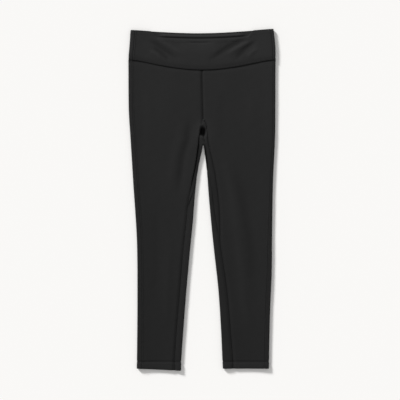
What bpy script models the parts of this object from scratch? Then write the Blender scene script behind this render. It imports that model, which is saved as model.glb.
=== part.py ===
"""Leggings laid flat, front up: two waistband pieces, four leg panels and a crotch gusset.

The garment lies on z = 0 with its waist towards +Y and its front towards +Z, so the wearer's
right leg is at -X. Every piece is one open sheet of cloth with its thickness from Solidify.
Lengths are in metres.
"""
import math
from collections import namedtuple

import bmesh
import bpy
from mathutils import Vector

# Cloth: wall, radius of the folded side edges, and height of the top layer away from the folds.
Cloth = namedtuple("Cloth", "wall radius middle")
LEG_CLOTH = Cloth(0.0012, 0.0030, 0.0042)
HEM_CLOTH = Cloth(0.0022, 0.0036, 0.0054)
BAND_CLOTH = Cloth(0.0024, 0.0040, 0.0062)
FOLD_FALL = 0.014          # the raised edge along a fold dies away over this distance

SEAM_GAP = 0.0003          # between two pieces that are sewn together
WAIST_CHORD_RISE = 0.00015 # straight edges between points stand this far above the waist curve
GUSSET_EASE = 0.00012      # more room where the gusset's back seam twists round a fold
SEAM_STRIP = 0.0006        # flat strip along each sewn edge
TURN_WEIGHT = 0.03         # metres of cloth that one radian of turning counts for in spacing

FRONT_POINTS = 10          # points across a front panel
BACK_POINTS = 20           # points round a back panel
GUSSET_POINTS = 13         # points across the gusset
BAND_FRONT_POINTS = 20
BAND_BACK_POINTS = 36
BAND_ROWS = 5

# Waistband: both seams and edges dip towards the centre, by (1 - (x / half width)^2)^1.5.
WAIST_SEAM_SIDE_Y = 0.3720
WAIST_SEAM_DIP = 0.0260
BACK_TOP_RIGHT_Y = 0.4515
BACK_TOP_LEFT_Y = 0.4545
BACK_TOP_DIP = 0.0115
FRONT_TOP_DROP = 0.0100    # how far the front's top edge lies below the back's
DROP_FULL_X = 0.118        # the drop is whole up to here, and gone at DROP_END_X
DROP_END_X = 0.138
DIP_HALF_WIDTH = 0.190
WAIST_EASE_Y = 0.2390      # the leg panels are straight across from here down

HEM_START_Y = -0.4315
HEM_EDGE_Y = -0.4500
HEM_RIGHT_OUTER_RISE = 0.0010
HEM_RIGHT_INNER_DROP = 0.0045
HEM_LEFT_RISE = 0.0010
ROUNDING = 1e-6            # vectors hold 32-bit numbers, so heights are compared with this margin

# Outline of the side folds.
Side = namedtuple("Side", "y right left")
SIDE_FOLDS = [
    Side(0.4545, -0.1903, 0.1903),
    Side(0.4120, -0.1930, 0.1948),
    Side(0.3760, -0.1962, 0.1960),
    Side(0.3720, -0.1968, 0.1968),
    Side(0.3640, -0.1961, 0.1956),
    Side(0.2390, -0.1950, 0.1950),
    Side(0.1650, -0.1905, 0.1942),
    Side(0.0530, -0.1836, 0.1890),
    Side(-0.0940, -0.1740, 0.1863),
    Side(-0.1870, -0.1720, 0.1856),
    Side(-0.2930, -0.1720, 0.1812),
    Side(-0.4000, -0.1730, 0.1786),
    Side(-0.4500, -0.1738, 0.1779),
]
# The outseams lie on the front, this far in from the side folds.
OUTSEAM_INSETS = [
    Side(0.3720, 0.0105, 0.0065),
    Side(0.0600, 0.0115, 0.0070),
    Side(-0.1900, 0.0125, 0.0120),
    Side(-0.4500, 0.0135, 0.0125),
]
BAND_SEAM_INSET_RIGHT = 0.0120
BAND_SEAM_INSET_LEFT = 0.0070

# Inner folds of the legs, from the crotch down.
INNER_FOLDS = [
    Side(0.1442, 0.0018, 0.0044),
    Side(0.1326, 0.0000, 0.0060),
    Side(0.1007, -0.0070, 0.0102),
    Side(0.0688, -0.0129, 0.0138),
    Side(0.0262, -0.0179, 0.0167),
    Side(-0.0536, -0.0242, 0.0236),
    Side(-0.1334, -0.0320, 0.0318),
    Side(-0.2398, -0.0416, 0.0435),
    Side(-0.3462, -0.0498, 0.0505),
    Side(-0.4287, -0.0555, 0.0542),
    Side(-0.4500, -0.0559, 0.0552),
]
CROTCH_X = 0.0031
CROTCH_Y = 0.1442
CROTCH_RADIUS = 0.0013     # round top of the gap between the legs
CENTRE_SEAM_TOP_X = -0.0010
GUSSET_TOP_X = 0.0020
GUSSET_TOP_Y = 0.2150

# Front seams below the centre seam: the gusset's front seams, then the inseams.
FRONT_SEAMS = [
    Side(GUSSET_TOP_Y, GUSSET_TOP_X, GUSSET_TOP_X),
    Side(0.2044, -0.0012, 0.0095),
    Side(0.1964, -0.0030, 0.0112),
    Side(0.1805, -0.0065, 0.0132),
    Side(0.1645, -0.0087, 0.0151),
    Side(0.1486, -0.0101, 0.0177),
    Side(0.1166, -0.0144, 0.0247),
    Side(0.0847, -0.0192, 0.0318),
    Side(0.0528, -0.0262, 0.0372),
    Side(-0.0137, -0.0373, 0.0455),
    Side(-0.0536, -0.0413, 0.0470),
    Side(-0.0935, -0.0458, 0.0470),
    Side(-0.1334, -0.0501, 0.0510),
    Side(-0.2398, -0.0586, 0.0664),
    Side(-0.3462, -0.0674, 0.0757),
    Side(-0.4287, -0.0730, 0.0821),
    Side(-0.4500, -0.0732, 0.0824),
]
# The gusset's back seams, by how far round from the inner fold they lie: more than 0 on the
# underside, less than 0 on the front. Above the crotch they count from the centre line.
BACK_SEAM_WRAPS = [
    Side(GUSSET_TOP_Y, 0.0000, 0.0000),
    Side(0.2044, 0.0060, 0.0070),
    Side(0.1964, 0.0085, 0.0095),
    Side(0.1805, 0.0115, 0.0125),
    Side(0.1645, 0.0135, 0.0150),
    Side(0.1486, 0.0145, 0.0165),
    Side(0.1326, 0.0165, 0.0160),
    Side(0.1166, 0.0140, 0.0125),
    Side(0.1007, 0.0100, 0.0080),
    Side(0.0847, 0.0047, 0.0025),
    Side(0.0688, 0.0017, -0.0025),
    Side(0.0528, -0.0014, -0.0070),
    Side(0.0262, -0.0050, -0.0115),
    Side(-0.0137, -0.0167, -0.0133),
    Side(-0.0536, -0.0167, -0.0153),
    Side(-0.0935, -0.0167, -0.0197),
]
RIGHT_TIP_Y = -0.0137      # ends of the gusset
LEFT_TIP_Y = -0.0935
TIP_WIDTH = 0.0012

# Heights of the rows of points down the leg panels.
ROWS = [
    0.3720, 0.3640, 0.3200, 0.2700, GUSSET_TOP_Y, 0.2044, 0.1964, 0.1805, 0.1645, 0.1486, 0.1326,
    0.1166, 0.1007, 0.0927, 0.0847, 0.0768, 0.0728, 0.0688, 0.0648, 0.0608, 0.0528, 0.0400, 0.0262,
    -0.0137, -0.0536, -0.0935, -0.1334, -0.2398, -0.3462, -0.4310, -0.4320, HEM_EDGE_Y,
]
# Fan of gusset rows round the crotch: the row's height on the seams, and either the direction
# into the gap in degrees from straight across, or the height at which it meets the inner fold.
FanRow = namedtuple("FanRow", "y angle rim_y")
GUSSET_FAN = [
    FanRow(0.2044, 68, None),
    FanRow(0.1964, 50, None),
    FanRow(0.1805, 33, None),
    FanRow(0.1645, 20, None),
    FanRow(0.1486, 10, 0.1400),
    FanRow(0.1326, 7, 0.1290),
    FanRow(0.1166, 3, 0.1150),
]
GUSSET_APEX_GAP = 0.0006


def along(table, y, column):
    """Read a column of a table at height y, on a smooth curve through its rows."""
    rows = sorted(table, key=lambda row: row.y)
    heights = [row.y for row in rows]
    values = [getattr(row, column) for row in rows]
    if y <= heights[0]:
        return values[0]
    if y >= heights[-1]:
        return values[-1]
    upper = next(index for index, height in enumerate(heights) if height >= y)
    lower = upper - 1
    slopes = []
    for index in (lower, upper):
        before = max(index - 1, 0)
        after = min(index + 1, len(rows) - 1)
        slopes.append((values[after] - values[before]) / (heights[after] - heights[before]))
    step = heights[upper] - heights[lower]
    secant = (values[upper] - values[lower]) / step
    # A curve that runs past its rows would make a bulge, so steep ends are flattened.
    slopes = [max(min(slope, 3 * abs(secant)), -3 * abs(secant)) for slope in slopes]
    t = (y - heights[lower]) / step
    rise = values[lower] + (values[upper] - values[lower]) * t * t * (3 - 2 * t)
    return rise + step * (slopes[0] * t * (1 - t) ** 2 - slopes[1] * t * t * (1 - t))


def smooth_step(value):
    value = min(max(value, 0.0), 1.0)
    return value * value * (3 - 2 * value)


def dip(x):
    """How much of the full dip of the waist shows at x: 1 at the centre, 0 at the sides."""
    return max(1 - (x / DIP_HALF_WIDTH) ** 2, 0.0) ** 1.5


def waist_seam_y(x):
    return WAIST_SEAM_SIDE_Y - WAIST_SEAM_DIP * dip(x)


def back_top_y(x):
    share = min(max(0.5 + 0.5 * x / DIP_HALF_WIDTH, 0.0), 1.0)
    side = BACK_TOP_RIGHT_Y + (BACK_TOP_LEFT_Y - BACK_TOP_RIGHT_Y) * share
    return side - BACK_TOP_DIP * dip(x)


def front_top_y(x):
    drop = smooth_step((DROP_END_X - abs(x)) / (DROP_END_X - DROP_FULL_X))
    return back_top_y(x) - FRONT_TOP_DROP * drop


def row_y(x, y):
    """Where a point of a leg panel's row lies: rows bend to the waist seam and to the hem."""
    if y > WAIST_EASE_Y:
        share = (y - WAIST_EASE_Y) / (WAIST_SEAM_SIDE_Y - WAIST_EASE_Y)
        bent = y + (waist_seam_y(x) - WAIST_SEAM_SIDE_Y) * share ** 1.5
        at_seam = y > WAIST_SEAM_SIDE_Y - ROUNDING
        return bent - SEAM_GAP / 2 - WAIST_CHORD_RISE if at_seam else bent
    if y > HEM_EDGE_Y + ROUNDING:
        return y
    if x < 0:
        inner, outer = along(INNER_FOLDS, y, "right"), along(SIDE_FOLDS, y, "right")
        share = min(max((x - outer) / (inner - outer), 0.0), 1.0)
        return y + HEM_RIGHT_OUTER_RISE - (HEM_RIGHT_OUTER_RISE + HEM_RIGHT_INNER_DROP) * share
    return y + HEM_LEFT_RISE


def cloth_at(y):
    return HEM_CLOTH if y < HEM_START_Y else LEG_CLOTH


def raised(distance, cloth):
    """Height of the top layer at a distance in from the nearest fold."""
    if distance < cloth.radius:
        inward = max(cloth.radius - distance, 0.0)
        return cloth.radius + math.sqrt(cloth.radius ** 2 - inward ** 2)
    fade = math.exp(-((distance - cloth.radius) / FOLD_FALL) ** 2)
    return cloth.middle + (2 * cloth.radius - cloth.middle) * fade


def top_z(x, y):
    """Height of the leg panels' top layer above the surface."""
    leg = "right" if x < CROTCH_X else "left"
    from_side = abs(x - along(SIDE_FOLDS, y, leg))
    if y >= CROTCH_Y:
        from_gap = math.hypot(x - CROTCH_X, y - CROTCH_Y) - CROTCH_RADIUS
    else:
        from_gap = abs(x - along(INNER_FOLDS, y, leg))
    return raised(min(from_side, from_gap), cloth_at(y))


def line(start, end, steps=60):
    """Evenly spaced plan points from start to end, both included."""
    return [start.lerp(end, index / steps) for index in range(steps + 1)]


def on_top(points):
    return [Vector((p.x, p.y, top_z(p.x, p.y))) for p in points]


def under(points):
    return [Vector((p.x, p.y, 0.0)) for p in points]


def fold(rim, outward, radius, first, last, steps=24):
    """Round a folded edge at the plan point rim; 90 degrees is its top, -90 its underside."""
    centre = rim - outward * radius
    points = []
    for index in range(steps + 1):
        angle = math.radians(first + (last - first) * index / steps)
        plan = centre + outward * radius * math.cos(angle)
        points.append(Vector((plan.x, plan.y, radius + radius * math.sin(angle))))
    return points


def spaced(path, count):
    """Pick count points on a path, closer where it turns, with a flat strip at both ends."""
    kept = [path[0]]
    for point in path[1:]:
        if (point - kept[-1]).length > 1e-6:
            kept.append(point)
    first_way = (kept[1] - kept[0]).normalized()
    last_way = (kept[-2] - kept[-1]).normalized()
    measure = [0.0]
    length = [0.0]
    for index in range(1, len(kept)):
        step = kept[index] - kept[index - 1]
        turn = 0.0
        if index > 1:
            turn = step.angle(kept[index - 1] - kept[index - 2])
        measure.append(measure[-1] + step.length + TURN_WEIGHT * turn)
        length.append(length[-1] + step.length)
    strip = min(SEAM_STRIP, length[-1] / 5)
    start = next(m for m, along_path in zip(measure, length) if along_path > strip)
    end = next(m for m, along_path in zip(reversed(measure), reversed(length))
               if along_path < length[-1] - strip)
    inner_count = count - 2
    picked = [kept[0], kept[0] + first_way * strip]
    for index in range(1, inner_count - 1):
        wanted = start + (end - start) * index / (inner_count - 1)
        after = next(place for place, m in enumerate(measure) if m >= wanted)
        span = measure[after] - measure[after - 1]
        share = (wanted - measure[after - 1]) / span
        picked.append(kept[after - 1].lerp(kept[after], share))
    return picked + [kept[-1] + last_way * strip, kept[-1]]


def trimmed(path):
    """Take half a seam gap off both ends of a path."""
    first_way = (path[1] - path[0]).normalized()
    last_way = (path[-2] - path[-1]).normalized()
    half = SEAM_GAP / 2
    clear = 1.3 * half
    inner = [point for point in path
             if (point - path[0]).length > clear and (point - path[-1]).length > clear]
    return [path[0] + first_way * half] + inner + [path[-1] + last_way * half]


def seam_x(y, leg):
    """The front panel's inner seam: the centre seam as far as the gusset, then its own."""
    if y > GUSSET_TOP_Y:
        share = (y - GUSSET_TOP_Y) / (WAIST_SEAM_SIDE_Y - GUSSET_TOP_Y)
        return GUSSET_TOP_X + (CENTRE_SEAM_TOP_X - GUSSET_TOP_X) * share
    return along(FRONT_SEAMS, y, leg)


def outseam_x(y, leg, outward):
    return along(SIDE_FOLDS, y, leg) - outward.x * along(OUTSEAM_INSETS, y, leg)


def front_wrap(y, leg):
    """The front seam's place, counted round the inner fold as the back seams are."""
    radius = cloth_at(y).radius
    inward = abs(seam_x(y, leg) - along(INNER_FOLDS, y, leg))
    return -(inward + (math.pi / 2 - 1) * radius)


def tip_y(leg):
    return RIGHT_TIP_Y if leg == "right" else LEFT_TIP_Y


def back_wrap(y, leg):
    """The back panel's edge, counted round the inner fold."""
    if y > tip_y(leg):
        return along(BACK_SEAM_WRAPS, y, leg)
    if y == tip_y(leg):
        return front_wrap(y, leg) + TIP_WIDTH
    return front_wrap(y, leg)


def round_inner_fold(y, leg, outward, last_wrap):
    """From the underside round the inner fold of a leg, until last_wrap."""
    radius = cloth_at(y).radius
    rim = Vector((along(INNER_FOLDS, y, leg), y))
    inward = -outward
    quarter = math.pi / 2 * radius
    if last_wrap >= quarter:
        return under([rim + outward * (last_wrap - quarter + radius)])
    last_angle = math.degrees(-last_wrap / radius)
    if last_wrap > -quarter:
        return fold(rim, inward, radius, -90, last_angle)
    top_end = rim + outward * (-last_wrap - quarter + radius)
    return fold(rim, inward, radius, -90, 90) + on_top(line(rim + outward * radius, top_end))


def front_panel_row(y, leg, outward):
    start = Vector((outseam_x(y, leg, outward), y))
    return trimmed(on_top(line(start, Vector((seam_x(y, leg), y)))))


def back_panel_row(y, leg, outward):
    radius = cloth_at(y).radius
    rim = Vector((along(SIDE_FOLDS, y, leg), y))
    start = Vector((outseam_x(y, leg, outward), y))
    path = on_top(line(start, rim - outward * radius))
    path += fold(rim, outward, radius, 90, -90)
    wrap = back_wrap(y, leg)
    if y > CROTCH_Y:
        centre_x = seam_x(max(y, GUSSET_TOP_Y), leg)
        ending = under([Vector((centre_x + outward.x * wrap, y))])
    else:
        ending = round_inner_fold(y, leg, outward, wrap)
    path += under(line(rim - outward * radius, ending[0].to_2d()))[1:]
    return trimmed(path + ending[1:])


def gusset_row(y, leg, outward, direction, rim):
    """Across the gusset from its front seam, round the fold at rim, to its back seam."""
    radius = LEG_CLOTH.radius
    half = SEAM_GAP / 2
    front = Vector((seam_x(y, leg) - outward.x * half, y))
    back_edge = back_wrap(y, leg) - half - GUSSET_EASE
    if y > CROTCH_Y or back_edge > math.pi / 2 * radius:
        if y > CROTCH_Y:
            back = Vector((GUSSET_TOP_X + outward.x * back_edge, y))
        else:
            back = round_inner_fold(y, leg, outward, back_edge)[0].to_2d()
        inner = rim - direction * radius
        path = on_top(line(front, inner)) + fold(rim, direction, radius, 90, -90)
        return path + under(line(inner, back))
    # Nearer its tip the gusset's back seam comes round the fold on to the front.
    front_edge = front_wrap(y, leg) + half
    path = list(reversed(round_inner_fold(y, leg, outward, front_edge)))
    kept = []
    travelled = front_edge
    for before, after in zip(path, path[1:]):
        kept.append(before)
        travelled += (after - before).length
        if travelled >= back_edge:
            kept.append(after + (before - after).normalized() * (travelled - back_edge))
            break
    return kept


def sheet(name, rows, cloth_of_row, flipped):
    """A grid of cloth, one row of points after another, thickened inwards by Solidify."""
    mesh = bpy.data.meshes.new(name)
    shape = bmesh.new()
    grid = [[shape.verts.new(point) for point in row] for row in rows]
    for upper, lower in zip(grid, grid[1:]):
        for column in range(len(upper) - 1):
            corners = [upper[column], upper[column + 1], lower[column + 1], lower[column]]
            shape.faces.new(reversed(corners) if flipped else corners)
    shape.to_mesh(mesh)
    shape.free()
    mesh.shade_smooth()
    piece = bpy.data.objects.new(name, mesh)
    collection.objects.link(piece)

    thickest = max(cloth.wall for cloth in cloth_of_row)
    group = piece.vertex_groups.new(name="wall")
    columns = len(rows[0])
    for index, cloth in enumerate(cloth_of_row):
        members = list(range(index * columns, (index + 1) * columns))
        group.add(members, cloth.wall / thickest, "REPLACE")
    solidify = piece.modifiers.new("Cloth thickness", "SOLIDIFY")
    solidify.thickness = thickest
    solidify.offset = -1
    solidify.vertex_group = "wall"
    return piece


def knit(piece, colour, roughness):
    """The matt stretch knit of one piece."""
    material = bpy.data.materials.new(piece.name)
    material.use_nodes = True
    shader = material.node_tree.nodes["Principled BSDF"]
    shader.inputs["Base Color"].default_value = (*colour, 1.0)
    shader.inputs["Roughness"].default_value = roughness
    shader.inputs["Metallic"].default_value = 0.0
    piece.data.materials.append(material)


def bent(path):
    return [Vector((p.x, row_y(p.x, p.y), p.z)) for p in path]


def leg_panels(leg, outward):
    """The front and the back panel of one leg, from the waist seam to the hem."""
    cloths = [cloth_at(y) for y in ROWS]
    right = leg == "right"
    front_rows = [bent(spaced(front_panel_row(y, leg, outward), FRONT_POINTS)) for y in ROWS]
    knit(sheet("front_" + leg, front_rows, cloths, flipped=right), (0.0220, 0.0220, 0.0230), 0.85)
    back_rows = [bent(spaced(back_panel_row(y, leg, outward), BACK_POINTS)) for y in ROWS]
    knit(sheet("back_" + leg, back_rows, cloths, flipped=not right), (0.0190, 0.0190, 0.0200), 0.85)


def gusset_half(leg, outward):
    """Rows of one half of the gusset, from next to its top down to its tip on the leg."""
    rows = []
    fan = {row.y: row for row in GUSSET_FAN}
    for y in ROWS:
        if y >= GUSSET_TOP_Y or y < tip_y(leg):
            continue
        direction = -outward
        rim = Vector((along(INNER_FOLDS, y, leg), y))
        if y in fan:
            angle = math.radians(fan[y].angle)
            direction = Vector((-outward.x * math.cos(angle), -math.sin(angle)))
            if fan[y].rim_y is None:
                rim = Vector((CROTCH_X, CROTCH_Y)) - direction * CROTCH_RADIUS
            else:
                rim = Vector((along(INNER_FOLDS, fan[y].rim_y, leg), fan[y].rim_y))
        rows.append(spaced(gusset_row(y, leg, outward, direction, rim), GUSSET_POINTS))
    return rows


def gusset():
    """A saddle between the legs: each row runs from the front, through the crotch, to the back."""
    down = Vector((0.0, -1.0))
    rim = Vector((CROTCH_X, CROTCH_Y + CROTCH_RADIUS))
    inner = rim - down * LEG_CLOTH.radius
    top = Vector((GUSSET_TOP_X, GUSSET_TOP_Y - GUSSET_APEX_GAP))
    path = on_top(line(top, inner)) + fold(rim, down, LEG_CLOTH.radius, 90, -90)
    apex = spaced(path + under(line(inner, top)), GUSSET_POINTS)
    right = gusset_half("right", Vector((-1.0, 0.0)))
    left = gusset_half("left", Vector((1.0, 0.0)))
    rows = list(reversed(right)) + [apex] + left
    piece = sheet("gusset", rows, [LEG_CLOTH] * len(rows), flipped=False)
    knit(piece, (0.0200, 0.0200, 0.0210), 0.9)


def band_z(x, right_x, left_x):
    return raised(min(x - right_x, left_x - x), BAND_CLOTH)


def band_row(share, back):
    """One row of the waistband, at a share of its height from the waist seam to its top."""
    y = WAIST_SEAM_SIDE_Y + share * (BACK_TOP_LEFT_Y - WAIST_SEAM_SIDE_Y)
    right_x = along(SIDE_FOLDS, y, "right")
    left_x = along(SIDE_FOLDS, y, "left")
    radius = BAND_CLOTH.radius
    seams = (right_x + BAND_SEAM_INSET_RIGHT, left_x - BAND_SEAM_INSET_LEFT)

    def top_run(start, end):
        return [Vector((p.x, 0.0, band_z(p.x, right_x, left_x)))
                for p in line(Vector((start, 0.0)), Vector((end, 0.0)))]

    if not back:
        path = top_run(*seams)
    else:
        path = top_run(seams[0], right_x + radius)
        path += fold(Vector((right_x, 0.0)), Vector((-1.0, 0.0)), radius, 90, -90)
        path += under(line(Vector((right_x + radius, 0.0)), Vector((left_x - radius, 0.0))))
        path += fold(Vector((left_x, 0.0)), Vector((1.0, 0.0)), radius, -90, 90)
        path += top_run(left_x - radius, seams[1])
    row = spaced(trimmed(path), BAND_BACK_POINTS if back else BAND_FRONT_POINTS)
    placed = []
    for point in row:
        low = waist_seam_y(point.x) + SEAM_GAP / 2
        high = back_top_y(point.x) if back else front_top_y(point.x)
        placed.append(Vector((point.x, low + share * (high - low), point.z)))
    return placed


def waistband():
    """The band's front and back; the back goes round both side folds to the side seams."""
    shares = [index / (BAND_ROWS - 1) for index in range(BAND_ROWS)]
    cloths = [BAND_CLOTH] * BAND_ROWS
    front = sheet("waistband_front", [band_row(s, back=False) for s in shares], cloths, False)
    knit(front, (0.0245, 0.0240, 0.0245), 0.8)
    back = sheet("waistband_back", [band_row(s, back=True) for s in shares], cloths, True)
    knit(back, (0.0210, 0.0210, 0.0215), 0.8)


for leftover in list(bpy.data.objects):
    bpy.data.objects.remove(leftover)
collection = bpy.data.collections.new("leggings")
bpy.context.scene.collection.children.link(collection)

waistband()
leg_panels("right", Vector((-1.0, 0.0)))
leg_panels("left", Vector((1.0, 0.0)))
gusset()
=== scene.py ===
"""Cropped leggings laid flat with the front up, sewn from a matt black stretch knit.

Lengths are in metres. The garment lies on z = 0 with its waist towards +Y, so the wearer's
right leg is at -X. Each cloth piece is a thin closed shell, and threads lie on its surface.
"""
import math
from collections import namedtuple

import bmesh
import bpy
import numpy as np
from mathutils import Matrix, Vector


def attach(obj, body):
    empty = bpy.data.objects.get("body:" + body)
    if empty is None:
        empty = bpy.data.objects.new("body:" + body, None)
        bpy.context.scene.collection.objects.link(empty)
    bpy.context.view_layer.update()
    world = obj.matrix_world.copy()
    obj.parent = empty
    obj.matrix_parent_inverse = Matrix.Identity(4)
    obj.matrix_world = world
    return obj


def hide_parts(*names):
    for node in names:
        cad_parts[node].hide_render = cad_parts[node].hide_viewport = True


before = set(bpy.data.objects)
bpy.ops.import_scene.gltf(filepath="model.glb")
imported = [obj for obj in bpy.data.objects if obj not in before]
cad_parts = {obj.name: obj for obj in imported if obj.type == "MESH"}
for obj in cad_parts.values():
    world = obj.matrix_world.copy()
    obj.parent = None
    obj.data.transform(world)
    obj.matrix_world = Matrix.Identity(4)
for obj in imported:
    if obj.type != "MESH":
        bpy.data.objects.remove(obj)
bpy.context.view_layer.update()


# ---------------------------------------------------------------- Front leg panels
# The two front panels are cut from a matt polyester and elastane jersey. They are sewn together
# down the centre front, and lie on the back panels with soft folds left from being smoothed out.

SEAM_GAP = 0.0003          # between the edges of two pieces that are sewn together
LEG_WALL, LEG_RADIUS, LEG_MIDDLE = 0.0012, 0.0030, 0.0042
HEM_WALL, HEM_RADIUS, HEM_MIDDLE = 0.0022, 0.0036, 0.0054
FOLD_FALL = 0.028          # the raised edge along a side fold dies away over this distance
LAYER_GAP = 0.0002         # the top layer stays at least this far above the layer below
LAYER_EASE = 0.00015       # and comes to rest there softly
HEM_START_Y = -0.4315
HEM_EDGE_Y = -0.4500
HEM_STEP = 0.0075          # height over which the single cloth becomes the doubled hem
HEM_GROOVE_Y = -0.4303     # the twin stitch lines draw a groove here
HEM_FULL_Y = -0.4415       # the doubled hem is fullest here
HEM_HIGHLIGHT, HEM_HIGHLIGHT_REACH = 0.10, 0.0055    # and gets this much painted highlight there
HEM_STIFFNESS = 0.6        # share of a crease that the doubled hem keeps out

WAIST_SEAM_SIDE_Y = 0.3720
WAIST_SEAM_DIP = 0.0260    # the waist seam sags towards the centre
DIP_HALF_WIDTH = 0.190
WAIST_EASE_Y = 0.2390      # rows of the leg panels are straight across from here down
HEM_RIGHT_OUTER_RISE = 0.0010
HEM_RIGHT_INNER_DROP = 0.0045
HEM_LEFT_RISE = 0.0010

Side = namedtuple("Side", "y right left")
SIDE_FOLDS = [
    Side(0.4545, -0.1903, 0.1903),
    Side(0.4120, -0.1930, 0.1948),
    Side(0.3760, -0.1962, 0.1960),
    Side(0.3720, -0.1968, 0.1968),
    Side(0.3640, -0.1961, 0.1956),
    Side(0.2390, -0.1950, 0.1950),
    Side(0.1650, -0.1905, 0.1942),
    Side(0.0530, -0.1836, 0.1890),
    Side(-0.0940, -0.1740, 0.1863),
    Side(-0.1870, -0.1720, 0.1856),
    Side(-0.2930, -0.1720, 0.1812),
    Side(-0.4000, -0.1730, 0.1786),
    Side(-0.4500, -0.1738, 0.1779),
]
OUTSEAM_INSETS = [
    Side(0.3720, 0.0105, 0.0065),
    Side(0.0600, 0.0115, 0.0070),
    Side(-0.1900, 0.0125, 0.0120),
    Side(-0.4500, 0.0135, 0.0125),
]
INNER_FOLDS = [
    Side(0.1442, 0.0018, 0.0044),
    Side(0.1326, 0.0000, 0.0060),
    Side(0.1007, -0.0070, 0.0102),
    Side(0.0688, -0.0129, 0.0138),
    Side(0.0262, -0.0179, 0.0167),
    Side(-0.0536, -0.0242, 0.0236),
    Side(-0.1334, -0.0320, 0.0318),
    Side(-0.2398, -0.0416, 0.0435),
    Side(-0.3462, -0.0498, 0.0505),
    Side(-0.4287, -0.0555, 0.0542),
    Side(-0.4500, -0.0559, 0.0552),
]
CROTCH_X, CROTCH_Y = 0.0031, 0.1442    # middle of the small round end of the gap between the legs
CROTCH_RADIUS = 0.0013
CENTRE_SEAM_TOP_X = -0.0010
GUSSET_TOP_X, GUSSET_TOP_Y = 0.0020, 0.2150
FRONT_SEAMS = [
    Side(GUSSET_TOP_Y, GUSSET_TOP_X, GUSSET_TOP_X),
    Side(0.2044, -0.0012, 0.0095),
    Side(0.1964, -0.0030, 0.0112),
    Side(0.1805, -0.0065, 0.0132),
    Side(0.1645, -0.0087, 0.0151),
    Side(0.1486, -0.0101, 0.0177),
    Side(0.1166, -0.0144, 0.0247),
    Side(0.0847, -0.0192, 0.0318),
    Side(0.0528, -0.0262, 0.0372),
    Side(-0.0137, -0.0373, 0.0455),
    Side(-0.0536, -0.0413, 0.0470),
    Side(-0.0935, -0.0458, 0.0470),
    Side(-0.1334, -0.0501, 0.0510),
    Side(-0.2398, -0.0586, 0.0664),
    Side(-0.3462, -0.0674, 0.0757),
    Side(-0.4287, -0.0730, 0.0821),
    Side(-0.4500, -0.0732, 0.0824),
]

# Where a seam draws the cloth down: how deep at the seam, and over what distance.
SeamDraw = namedtuple("SeamDraw", "depth reach")
OUTSEAM_DRAW = SeamDraw(-0.0002, 0.0024)
CENTRE_SEAM_DRAW = SeamDraw(0.0012, 0.0030)
INSEAM_DRAW = SeamDraw(0.0012, 0.0040)
WAIST_SEAM_DRAW = SeamDraw(0.0010, 0.0075)
HEM_STITCH_DRAW = SeamDraw(0.0009, 0.0024)
# How much painted shade the cloth gets for each metre it is drawn down: in a groove, in a soft fold,
# and in the deep creases round the gusset. Ridges get a little painted highlight.
GROOVE_SHADE, FOLD_SHADE, CREASE_SHADE = 90.0, 60.0, 480.0
DARKEST_CREASE, DARKEST_FOLD, LIGHTEST_RIDGE = -0.94, -0.15, 0.05

# Creases on the top layer: a ridge where height is above 0 and a trough where it is below.
# The steepness is 2 for a soft wave, and more for a flat bed with steep sides.
Crease = namedtuple("Crease", "height width steepness path")
LEG_CREASES = [
    Crease(-0.0017, 0.0095, 2, [(-0.032, 0.222), (-0.036, 0.160), (-0.050, 0.114), (-0.062, 0.010)]),
    Crease(0.0006, 0.0110, 2, [(-0.056, 0.215), (-0.060, 0.160), (-0.074, 0.110), (-0.088, 0.020)]),
    Crease(0.0013, 0.0150, 2, [(0.050, 0.140), (0.082, 0.026), (0.101, -0.107), (0.114, -0.240),
                               (0.124, -0.386)]),
    Crease(-0.0012, 0.0140, 2, [(0.080, 0.110), (0.112, 0.010), (0.132, -0.110), (0.142, -0.240)]),
    Crease(0.0005, 0.0140, 2, [(-0.150, 0.300), (-0.140, 0.200), (-0.150, 0.060)]),
    Crease(-0.0005, 0.0120, 2, [(-0.120, 0.020), (-0.118, -0.120), (-0.126, -0.300)]),
    Crease(0.0005, 0.0100, 2, [(-0.085, -0.080), (-0.092, -0.230), (-0.098, -0.360)]),
    Crease(0.0005, 0.0160, 2, [(0.140, 0.310), (0.130, 0.210), (0.145, 0.090)]),
    Crease(-0.0004, 0.0110, 2, [(0.060, 0.300), (0.052, 0.220), (0.060, 0.150)]),
]
# The gusset is drawn down into a dimple below its top and the cloth round that stands up. A narrow
# trough runs from it down the left leg's inner side. Both are darkened with painted shade as well.
CROTCH_CREASES = [
    Crease(-0.0038, 0.0090, 4, [(0.0022, 0.1872), (0.0014, 0.1768)]),
    Crease(0.0020, 0.0130, 2, [(0.0022, 0.1930), (0.0008, 0.1700)]),
    Crease(-0.0016, 0.0028, 2, [(0.0040, 0.1730), (0.0052, 0.1640), (0.0076, 0.1540)]),
    Crease(-0.0016, 0.0032, 2, [(0.0072, 0.1520), (0.0092, 0.1300), (0.0128, 0.1000),
                                (0.0156, 0.0800)]),
]

# A crease this many times longer than its width fades in from its ends, over this share of it.
LONG_CREASE, FADE_SHARE, FADE_START = 4, 0.35, 0.15

# The slight waviness of a knit that has been laid down. Each swell is a product of two waves,
# and each wave has its radians per metre in x and in y, and its starting angle.
Swell = namedtuple("Swell", "height first second")
SWELLS = [Swell(0.00016, (71, 23, 0.6), (17, -39, 1.9)),
          Swell(0.00007, (163, -58, 2.7), (47, 121, 0.4))]

# How far up the cloth faces, from -1 to 1. It begins to count as top at TOP_FROM and is all
# underside up to UNDERSIDE_TO, and each of these changes over the range beside it.
TOP_FROM, TOP_OVER = 0.35, 0.5
UNDERSIDE_TO, UNDERSIDE_OVER = -0.8, 0.5
SAME_PLACE = 1e-7          # points nearer than this are one point
NO_LENGTH = 1e-12

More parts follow.
